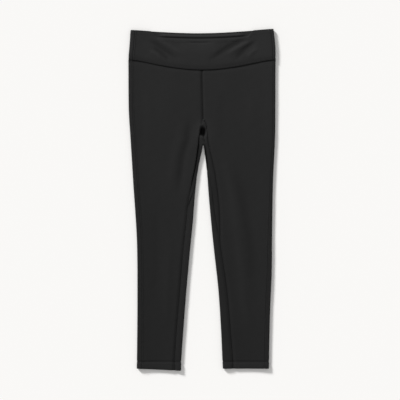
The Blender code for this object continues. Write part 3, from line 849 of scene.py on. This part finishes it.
BACK_SEAM_WRAPS = [
    Side(GUSSET_TOP_Y, 0.0000, 0.0000),
    Side(0.2044, 0.0060, 0.0070),
    Side(0.1964, 0.0085, 0.0095),
    Side(0.1805, 0.0115, 0.0125),
    Side(0.1645, 0.0135, 0.0150),
    Side(0.1486, 0.0145, 0.0165),
    Side(0.1326, 0.0165, 0.0160),
    Side(0.1166, 0.0140, 0.0125),
    Side(0.1007, 0.0100, 0.0080),
    Side(0.0847, 0.0047, 0.0025),
    Side(0.0688, 0.0017, -0.0025),
    Side(0.0528, -0.0014, -0.0070),
    Side(0.0262, -0.0050, -0.0115),
    Side(-0.0137, -0.0167, -0.0133),
    Side(-0.0536, -0.0167, -0.0153),
    Side(-0.0935, -0.0167, -0.0197),
]
TIP_Y = {"right": -0.0137, "left": -0.0935}
TIP_WIDTH = 0.0012
TIP_WALL_SHARE, TIP_WALL_LEAST = 0.7, 0.0002    # the wall thins with the row's width at the tips
NARROW_ROW = 0.0080        # rows shorter than this have no stitches and are drawn in less
NARROW_TRIM = 0.3

GUSSET_COLUMNS = 44
GUSSET_ROW_STEP = 0.0022
GUSSET_APEX_GAP, GUSSET_ROWS_FROM = 0.0006, 0.0012    # below the gusset's top
GUSSET_EASE = 0.00012
FOLD_ROOM = 0.0004         # more room for the back seam's edges on the inner fold
ROOM_TO_WRAP, ROOM_EASE = 0.0062, 0.0015
# The centre-back seam lies a little to the right of the centre-front one, so that their gaps
# aren't one above the other.
BACK_SEAM_ASIDE, ASIDE_FROM_Y, ASIDE_EASE = 0.0024, 0.1980, 0.0160
FanRow = namedtuple("FanRow", "y angle rim_y")
FAN_FROM_Y = 0.1645        # from here up all rows of the fan go round the crotch point itself
GUSSET_FAN = [
    FanRow(0.2150, 90, None),
    FanRow(0.2044, 68, None),
    FanRow(0.1964, 50, None),
    FanRow(0.1805, 33, None),
    FanRow(0.1645, 20, None),
    FanRow(0.1486, 10, 0.1400),
    FanRow(0.1326, 7, 0.1290),
    FanRow(0.1166, 3, 0.1150),
    FanRow(0.1007, 0, 0.1007),
]


def fold_round(rim, outward, radius, first, last, steps=40):
    """Round a folded edge at the plan point rim; 90 degrees is its top and -90 its underside."""
    angles = np.radians(np.linspace(first, last, steps + 1))[:, None]
    outward = np.array(outward)
    plan = np.array(rim) + outward * radius * (np.cos(angles) - 1)
    return np.column_stack([plan, radius + radius * np.sin(angles)])


def on_table(plan):
    return np.column_stack([plan, np.zeros(len(plan))])


def front_wrap(y, leg):
    """The front seam's place, counted round the inner fold as the back seams are."""
    _, radius, _ = leg_cloth(y)
    inward = abs(seam_x(y, leg) - along(INNER_FOLDS, y, leg))
    return -(inward + (math.pi / 2 - 1) * radius)


def back_wrap(y, leg):
    """The back panel's inner edge, counted round the inner fold."""
    if y > TIP_Y[leg]:
        return float(along(BACK_SEAM_WRAPS, y, leg))
    return float(front_wrap(y, leg))


def seam_aside(y):
    return BACK_SEAM_ASIDE * float(smooth_step((y - ASIDE_FROM_Y) / ASIDE_EASE))


def fold_room(y, leg):
    """More room between the edges where the back seam lies on the tight inner fold."""
    return FOLD_ROOM * smooth_step((ROOM_TO_WRAP - abs(back_wrap(y, leg))) / ROOM_EASE)


def round_inner_fold(y, leg, outward, last_wrap):
    """From the underside round the inner fold of a leg, until last_wrap."""
    _, radius, _ = leg_cloth(y)
    rim = np.array([float(along(INNER_FOLDS, y, leg)), y])
    out = np.array([outward, 0.0])
    quarter = math.pi / 2 * radius
    if last_wrap >= quarter:
        return on_table((rim + out * (last_wrap - quarter + radius))[None])
    last_angle = math.degrees(-last_wrap / radius)
    if last_wrap > -quarter:
        return fold_round(rim, -out, radius, -90, last_angle)
    top_end = rim + out * (-last_wrap - quarter + radius)
    over = straight(rim + out * radius, top_end, 30)
    return np.concatenate([fold_round(rim, -out, radius, -90, 90), on_top(over, leg)[1:]])


def gusset_fold(y, leg, outward):
    """Where a gusset row meets the fold between the legs, and its direction there."""
    stops = sorted(GUSSET_FAN)
    if y <= stops[0].y:
        return np.array([float(along(INNER_FOLDS, y, leg)), y]), np.array([-outward, 0.0])
    angles, rims = [], []
    for stop in stops:
        angle = math.radians(stop.angle)
        angles.append(angle)
        if stop.rim_y is None:
            way = np.array([-outward * math.cos(angle), -math.sin(angle)])
            rims.append(np.array([CROTCH_X, CROTCH_Y]) - way * CROTCH_RADIUS)
        else:
            rims.append(np.array([float(along(INNER_FOLDS, stop.rim_y, leg)), stop.rim_y]))
    heights = [stop.y for stop in stops]
    angle = np.interp(y, heights, angles)
    rims = np.array(rims)
    rim = np.array([np.interp(y, heights, rims[:, axis]) for axis in (0, 1)])
    if y >= FAN_FROM_Y:
        way = np.array([-outward * math.cos(angle), -math.sin(angle)])
        rim = np.array([CROTCH_X, CROTCH_Y]) - way * CROTCH_RADIUS
    return rim, np.array([-outward * math.cos(angle), -math.sin(angle)])


def gusset_path(y, leg, outward):
    """Across the gusset from its front seam, round the fold, to its back seam."""
    radius = LEG_RADIUS
    rim, direction = gusset_fold(y, leg, outward)
    start = np.array([seam_x(y, leg), y])
    back_edge = back_wrap(y, leg) - GUSSET_EASE
    if y > CROTCH_Y or back_edge > math.pi / 2 * radius:
        if y > CROTCH_Y:
            ending = np.array([GUSSET_TOP_X + outward * back_edge - seam_aside(y), y])
        else:
            ending = round_inner_fold(y, leg, outward, back_edge)[0, :2]
        inner = rim - direction * radius
        return np.concatenate([on_top(straight(start, inner, 60), leg)[:-1],
                               fold_round(rim, direction, radius, 90, -90),
                               on_table(straight(inner, ending, 60))[1:]])
    front_edge = float(front_wrap(y, leg))
    path = round_inner_fold(y, leg, outward, front_edge)[::-1]
    done = np.concatenate([[0], np.cumsum(np.linalg.norm(np.diff(path, axis=0), axis=1))])
    at = np.linspace(0, max(back_edge - front_edge, TIP_WIDTH), 120)
    return np.column_stack([np.interp(at, done, path[:, axis]) for axis in range(3)])


def gusset_half(leg, outward):
    heights = np.concatenate([np.arange(GUSSET_TOP_Y - GUSSET_ROWS_FROM, FINE_TO_Y, -FINE_STEP),
                              np.arange(FINE_TO_Y, TIP_Y[leg], -GUSSET_ROW_STEP),
                              [TIP_Y[leg] + LEG_WALL / 4]])
    rows = []
    for y in heights:
        path = gusset_path(y, leg, outward)
        length = np.linalg.norm(np.diff(path, axis=0), axis=1).sum()
        trim = min(LEG_TRIM, NARROW_TRIM * length)
        end_trim = min(LEG_TRIM + fold_room(y, leg), NARROW_TRIM * length)
        rows.append(spread_row(path, GUSSET_COLUMNS, trim, end_trim))
    return rows, list(heights)


apex_top = (GUSSET_TOP_X, GUSSET_TOP_Y - GUSSET_APEX_GAP)
apex_back = (GUSSET_TOP_X - seam_aside(GUSSET_TOP_Y), GUSSET_TOP_Y - GUSSET_APEX_GAP)
apex_rim = np.array([CROTCH_X, CROTCH_Y + CROTCH_RADIUS])
apex_inner = apex_rim + (0.0, LEG_RADIUS)
apex_path = np.concatenate([on_top(straight(apex_top, apex_inner, 60), "right")[:-1],
                            fold_round(apex_rim, (0.0, -1.0), LEG_RADIUS, 90, -90),
                            on_table(straight(apex_inner, apex_back, 60))[1:]])
right_rows, right_heights = gusset_half("right", -1.0)
left_rows, left_heights = gusset_half("left", 1.0)
apex_row = spread_row(apex_path, GUSSET_COLUMNS, LEG_TRIM, LEG_TRIM)
grid = np.array(right_rows[::-1] + [apex_row] + left_rows)
row_heights = np.array(right_heights[::-1] + [GUSSET_TOP_Y] + left_heights)
facing = 1.0
from_front = distance_along(grid, 1)
row_lengths = from_front[:, -1:]
right_side = (np.arange(len(grid)) < len(right_rows))[:, None]
grid, painted_shading = creased(grid, facing)
# On the right leg the front seam is a deep join, in shade from end to end, with painted shade added
# along it.
JOIN_DRAWS = ((0.215, 0.0006), (0.20, 0.0008), (0.17, 0.0014), (0.06, 0.0012), (0.0, 0.0006))
JOIN_SHADES = ((0.18, 0.0), (0.165, 0.78), (0.06, 0.45), (0.02, 0.0))
JOIN_SHADE_REACH = 0.0048
LEFT_JOIN_DRAW = 0.0008
DARKEST = -0.95
front_depth = np.where(right_side, by_height(row_heights, *JOIN_DRAWS), LEFT_JOIN_DRAW)
narrow = smooth_step(row_lengths / NARROW_ROW)
grid, painted_shading = drawn_by_seams(grid, painted_shading, facing, LEG_WALL,
                            (from_front, front_depth * narrow, CENTRE_SEAM_DRAW.reach))
join_shade = np.where(right_side, by_height(row_heights, *JOIN_SHADES), 0.0)
painted_shading = np.maximum(painted_shading - draw_in(join_shade, JOIN_SHADE_REACH, from_front), DARKEST)
wall = np.minimum(LEG_WALL, TIP_WALL_SHARE * row_lengths + TIP_WALL_LEAST)
crotch_gusset = cloth_shell("crotch_gusset", grid, painted_shading, wall, facing)
gusset_knit = knit_material("gusset_knit", (0.0130, 0.0130, 0.0130), roughness=0.88,
                            sheen=0.05, loop_depth=0.00012, wale_width=0.0011,
                            course_height=0.0013)
crotch_gusset.data.materials.append(gusset_knit)
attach(crotch_gusset, "root")
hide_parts("gusset")
# Its cut fills only a seventh of its rectangle, so it is declared with the back right panel.
wide_enough = row_lengths[:, 0] > NARROW_ROW
gusset_seams = flat_seam(grid, facing, "start", wide_enough)
gusset_seams += flat_seam(grid, facing, "end", wide_enough)
sew("crotch_gusset_stitches", crotch_gusset, gusset_seams, seed=7)


# ---------------------------------------------------------------- Back leg panels
# Each back panel is one wide piece of the same jersey. It goes round the side fold to the
# outseam on the front, lies flat on the table, and comes round the inner fold to the inseam.

BACK_COLUMNS = 76
BACK_INNER_DRAWS = ((0.03, 0.0), (0.0, 0.0011), (-0.4, INSEAM_DRAW.depth))


def back_row(y, leg, outward):
    _, radius, _ = leg_cloth(y)
    rim = np.array([float(along(SIDE_FOLDS, y, leg)), y])
    out = np.array([outward, 0.0])
    start = np.array([outseam_x(y, leg, outward), y])
    path = [on_top(straight(start, rim - out * radius, 20), leg)[:-1],
            fold_round(rim, out, radius, 90, -90)]
    wrap = back_wrap(y, leg)
    if y > CROTCH_Y:
        seam = seam_x(max(y, GUSSET_TOP_Y), leg) + outward * wrap - seam_aside(y)
        ending = on_table(np.array([[seam, y]]))
    else:
        ending = round_inner_fold(y, leg, outward, wrap)
    path.append(on_table(straight(rim - out * radius, ending[0, :2], 120))[1:])
    path.append(ending[1:])
    return np.concatenate(path)


for leg, outward in (("right", -1.0), ("left", 1.0)):
    grid = laid_panel([back_row(y, leg, outward) for y in LEG_HEIGHTS], BACK_COLUMNS,
                      [fold_room(y, leg) for y in LEG_HEIGHTS])
    facing = -outward
    from_outseam = distance_along(grid, 1)
    from_inner = from_outseam[:, -1:] - from_outseam
    from_waist = np.broadcast_to((LEG_HEIGHTS[0] - LEG_HEIGHTS)[:, None], from_inner.shape)
    grid, painted_shading = creased(grid, facing)
    inner_depth = by_height(LEG_HEIGHTS, *BACK_INNER_DRAWS)
    grid, painted_shading = drawn_by_seams(grid, painted_shading, facing, LEG_WALLS[:, None],
                                (from_outseam, *OUTSEAM_DRAW),
                                (from_inner, inner_depth, INSEAM_DRAW.reach),
                                (from_waist, WAIST_SEAM_DRAW.depth / 2, WAIST_SEAM_DRAW.reach))
    grid[..., 1] = row_y(grid[..., 0], grid[..., 1])
    piece = cloth_shell("leg_back_" + leg, grid, painted_shading, LEG_WALLS[:, None], facing)
    piece.data.materials.append(leg_knit)
    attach(piece, "root")
    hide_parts("back_" + leg)
    below_gusset_top = LEG_HEIGHTS < GUSSET_TOP_Y
    seams = flat_seam(grid, facing, "start") + flat_seam(grid, facing, "end", below_gusset_top)
    sew("leg_back_" + leg + "_stitches", piece, seams + hem_lines(grid, facing), seed=5)


# ---------------------------------------------------------------- Waistband
# The wide band is a double layer of firmer knit, folded over at the top edge. The back is cut
# higher than the front, and goes round both side folds to its side seams.

BAND_WALL, BAND_RADIUS, BAND_MIDDLE = 0.0024, 0.0040, 0.0062
BACK_TOP_RIGHT_Y, BACK_TOP_LEFT_Y = 0.4515, 0.4545
BACK_TOP_DIP = 0.0096      # the back's top edge dips in the middle
FRONT_TOP_DROP = 0.0142    # and the front's lies this much lower, except near the sides
DROP_FULL_X, DROP_END_X = 0.118, 0.138
BAND_SEAM_INSET = {"right": 0.0120, "left": 0.0070}
BAND_FRONT_COLUMNS = 170
BAND_BACK_COLUMNS = 210
BAND_ROWS = 44
# Rows of points, as shares of the band's height: closer by its two long edges.
EDGE_SHARES = np.array([0.0, 0.008, 0.018, 0.03, 0.045, 0.062])
INNER_SHARES = np.linspace(0.08, 0.92, BAND_ROWS)
BAND_SHARES = np.concatenate([EDGE_SHARES, INNER_SHARES, 1 - EDGE_SHARES[::-1]])
BAND_EDGE_DRAW = SeamDraw(0.0010, 0.0078)
# Painted shade in the band's creases, and a little painted highlight on their ridges.
BAND_CREASE_SHADE, DARKEST_BAND, LIGHTEST_BAND = 120.0, -0.22, 0.10
# Near both long edges the creases are held by the stitching and the fold.
HELD_AT_TOP, HELD_SHARE, HELD_AT_WAIST = 0.012, 0.2, 0.010
DOWN_FROM, DOWN_OVER = -0.7, 0.3    # how far down the cloth faces where it lies on the table
# The back's top edge stands up behind the front's, which leaves a gap between them, darkened with
# painted shade.
RIM_LIFT = 0.0038
RIM_PEAK, RIM_FALL = 0.0092, 0.0032    # how far from the edge the rim is highest, and its fall
RIM_START = 0.3            # share of its height that the rim has at its edge
RIM_END = 0.022            # the rim sinks to the ends of the open stretch over this distance
RIM_HIGHLIGHT, RIM_HIGHLIGHT_AT, RIM_HIGHLIGHT_REACH = 0.22, 0.8 * RIM_PEAK, 0.0025    # painted highlight near its peak
RIM_EDGE_SHADE, RIM_EDGE_REACH = 0.48, 0.0034                        # and painted shade at its edge
FRONT_EDGE_DRAW = SeamDraw(0.0010, 0.0026)
# The gap in front of the rim gets painted shade.
GAP_SHADE, GAP_REACH, GAP_AT = 0.30, 0.0026, FRONT_TOP_DROP - 0.0010
TOP_LINE_INSET = 0.0095    # the stitches that hold the elastic in the folded edge
WAIST_LINE_INSET = 0.0022
BAND_CREASES = [
    Crease(-0.0016, 0.0056, 2, [(-0.143, 0.427), (-0.126, 0.416), (-0.104, 0.402),
                                (-0.084, 0.388), (-0.060, 0.372)]),
    Crease(0.0011, 0.0054, 2, [(-0.122, 0.428), (-0.102, 0.417), (-0.080, 0.403),
                               (-0.054, 0.387)]),
    Crease(-0.0014, 0.0048, 2, [(-0.130, 0.406), (-0.114, 0.394), (-0.096, 0.378),
                                (-0.084, 0.366)]),
    Crease(0.0009, 0.0050, 2, [(-0.140, 0.398), (-0.122, 0.386), (-0.106, 0.372)]),
    Crease(-0.0015, 0.0072, 2, [(0.124, 0.430), (0.104, 0.422), (0.084, 0.412), (0.062, 0.399),
                                (0.040, 0.384), (0.018, 0.370)]),
    Crease(0.0013, 0.0066, 2, [(0.132, 0.422), (0.108, 0.411), (0.088, 0.399), (0.066, 0.386)]),
    Crease(-0.0014, 0.0062, 2, [(0.148, 0.424), (0.130, 0.412), (0.114, 0.399), (0.100, 0.385),
                                (0.088, 0.370)]),
    Crease(0.0010, 0.0060, 2, [(0.150, 0.404), (0.134, 0.392), (0.118, 0.378)]),
    Crease(0.0009, 0.0200, 2, [(-0.040, 0.404), (0.004, 0.400), (0.030, 0.404)]),
    Crease(-0.0008, 0.0026, 2, [(-0.046, 0.4195), (-0.022, 0.4180), (0.000, 0.4180),
                                (0.034, 0.4200)]),
]


def back_top_y(x):
    share = np.clip(0.5 + 0.5 * x / DIP_HALF_WIDTH, 0, 1)
    return BACK_TOP_RIGHT_Y + (BACK_TOP_LEFT_Y - BACK_TOP_RIGHT_Y) * share - BACK_TOP_DIP * sag(x)


def front_lowered(x):
    """1 where the front's top edge lies lower than the back's, and 0 near the sides."""
    return smooth_step((DROP_END_X - np.abs(x)) / (DROP_END_X - DROP_FULL_X))


def front_top_y(x):
    return back_top_y(x) - FRONT_TOP_DROP * front_lowered(x)


def band_row(share, is_back):
    """One row of the band, at a share of its height from the waist seam to its top."""
    y = WAIST_SEAM_SIDE_Y + share * (BACK_TOP_LEFT_Y - WAIST_SEAM_SIDE_Y)
    right_x, left_x = (float(along(SIDE_FOLDS, y, leg)) for leg in ("right", "left"))
    seams = (right_x + BAND_SEAM_INSET["right"], left_x - BAND_SEAM_INSET["left"])

    def top_run(start, end, steps):
        x = np.linspace(start, end, steps)
        z = fold_height(np.minimum(x - right_x, left_x - x), BAND_RADIUS, BAND_MIDDLE)
        return np.column_stack([x, 0 * x, z])

    if not is_back:
        path = top_run(*seams, 240)
    else:
        path = np.concatenate([
            top_run(seams[0], right_x + BAND_RADIUS, 16)[:-1],
            fold_round((right_x, 0.0), (-1.0, 0.0), BAND_RADIUS, 90, -90),
            on_table(straight((right_x + BAND_RADIUS, 0), (left_x - BAND_RADIUS, 0), 240))[1:-1],
            fold_round((left_x, 0.0), (1.0, 0.0), BAND_RADIUS, -90, 90),
            top_run(left_x - BAND_RADIUS, seams[1], 16)[1:]])
    columns = BAND_BACK_COLUMNS if is_back else BAND_FRONT_COLUMNS
    trim = SEAM_GAP / 2 + BAND_WALL / 2
    row = spread_row(path, columns, trim, trim)
    low = waist_seam_y(row[:, 0]) + SEAM_GAP / 2 + BAND_WALL / 2
    high = (back_top_y if is_back else front_top_y)(row[:, 0]) - BAND_WALL / 2
    row[:, 1] = low + share * (high - low)
    return row


waistband_knit = knit_material("waistband_knit", (0.0142, 0.0142, 0.0142), roughness=0.84,
                               sheen=0.06, loop_depth=0.00010, wale_width=0.0009,
                               course_height=0.0010)

for side, is_back in (("front", False), ("back", True)):
    facing = 1.0 if is_back else -1.0
    grid = np.array([band_row(share, is_back) for share in BAND_SHARES[::-1]])
    from_side = distance_along(grid, 1)
    from_top = distance_along(grid, 0)
    from_waist = from_top[-1:] - from_top
    normals = facing * grid_normals(grid)
    x, y = grid[..., 0], grid[..., 1]
    if is_back:
        # Only the stretch behind the front's lower edge stands up.
        stands_up = smooth_step((DOWN_FROM - normals[..., 2]) / DOWN_OVER)
        stands_up *= smooth_step((DROP_FULL_X - np.abs(x)) / RIM_END)
        rim = RIM_START + (1 - RIM_START) * smooth_step(from_top / RIM_PEAK)
        rim *= 1 - smooth_step((from_top - RIM_PEAK) / RIM_FALL)
        grid[..., 2] += stands_up * RIM_LIFT * rim
        painted_shading = draw_in(RIM_HIGHLIGHT, RIM_HIGHLIGHT_REACH, from_top - RIM_HIGHLIGHT_AT)
        painted_shading -= draw_in(RIM_EDGE_SHADE, RIM_EDGE_REACH, from_top)
        painted_shading -= draw_in(GAP_SHADE, GAP_REACH, from_top - GAP_AT)
        painted_shading *= stands_up
    else:
        held = smooth_step(from_top / HELD_AT_TOP + HELD_SHARE)
        held *= smooth_step(from_waist / HELD_AT_WAIST)
        lift = held * (crease_lift(BAND_CREASES, x, y) + soft_unevenness(x, y))
        grid[..., 2] += lift
        edge = front_lowered(x) * draw_in(*FRONT_EDGE_DRAW, from_top)
        grid = grid - normals * edge[..., None]
        painted_shading = np.clip(lift * BAND_CREASE_SHADE, DARKEST_BAND, LIGHTEST_BAND)
        painted_shading -= edge * GROOVE_SHADE
    side_depth = (from_side, *OUTSEAM_DRAW)
    other_depth = (from_side[:, -1:] - from_side, *OUTSEAM_DRAW)
    waist_depth = (from_waist, *BAND_EDGE_DRAW)
    grid, painted_shading = drawn_by_seams(grid, painted_shading, facing, BAND_WALL,
                                side_depth, other_depth, waist_depth)
    piece = cloth_shell("waistband_panel_" + side, grid, painted_shading, BAND_WALL, facing)
    piece.data.materials.append(waistband_knit)
    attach(piece, "root")
    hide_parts("waistband_" + side)
    seams = flat_seam(grid, facing, "start") + flat_seam(grid, facing, "end")
    seams += [thread_line(grid, facing, "top", TOP_LINE_INSET),
              thread_line(grid, facing, "bottom", WAIST_LINE_INSET)]
    sew("waistband_panel_" + side + "_stitches", piece, seams, seed=9)


# ---------------------------------------------------------------- Table, light and camera
# The garment lies on a plain pale table under one large soft lamp from the upper left, with
# white walls round it, and is looked at from straight above.

VIEW_WIDTH = 1.064         # width of the picture at the garment's height
VIEW_CENTRE = (-0.0054, -0.0004)
LENS, SENSOR = 85.0, 36.0
TABLE_SIZE = 60.0
TABLE_COLOUR = (0.905, 0.896, 0.881, 1.0)
LAMP_FROM = (-1.0, 1.15)   # the lamp's side, in plan
LAMP_ELEVATION = math.radians(21)
LAMP_STRENGTH = 4.65
LAMP_SOFTNESS = math.radians(11)
WALL_STRENGTH = 0.52

bpy.ops.mesh.primitive_plane_add(size=TABLE_SIZE)
table = bpy.context.object
table.name = "table_top"
# Stitches on the underside reach a little below z = 0, so the table lies lower still.
table.location.z = -THREAD_WIDTH
paint = bpy.data.materials.new("table_paint")
paint.use_nodes = True
for socket, value in (("Base Color", TABLE_COLOUR), ("Roughness", 0.9),
                      ("Specular IOR Level", 0.0)):
    paint.node_tree.nodes["Principled BSDF"].inputs[socket].default_value = value
table.data.materials.append(paint)

lamp = bpy.data.objects.new("soft_lamp", bpy.data.lights.new("soft_lamp", "SUN"))
bpy.context.scene.collection.objects.link(lamp)
lamp.data.energy = LAMP_STRENGTH
lamp.data.angle = LAMP_SOFTNESS
from_lamp = Vector((*LAMP_FROM, math.hypot(*LAMP_FROM) * math.tan(LAMP_ELEVATION)))
lamp.rotation_euler = from_lamp.to_track_quat("Z", "Y").to_euler()
world = bpy.data.worlds.new("white_walls")
bpy.context.scene.world = world
world.use_nodes = True
walls = world.node_tree.nodes["Background"]
walls.inputs["Color"].default_value = (1.0, 1.0, 1.0, 1.0)
walls.inputs["Strength"].default_value = WALL_STRENGTH
bpy.context.scene.view_settings.view_transform = "Standard"

camera = bpy.data.objects.new("camera", bpy.data.cameras.new("camera"))
bpy.context.scene.collection.objects.link(camera)
camera.data.lens = LENS
camera.data.sensor_width = SENSOR
view_distance = VIEW_WIDTH / 2 / (SENSOR / 2 / LENS)
camera.location = (*VIEW_CENTRE, view_distance + LEG_MIDDLE)
bpy.context.scene.camera = camera
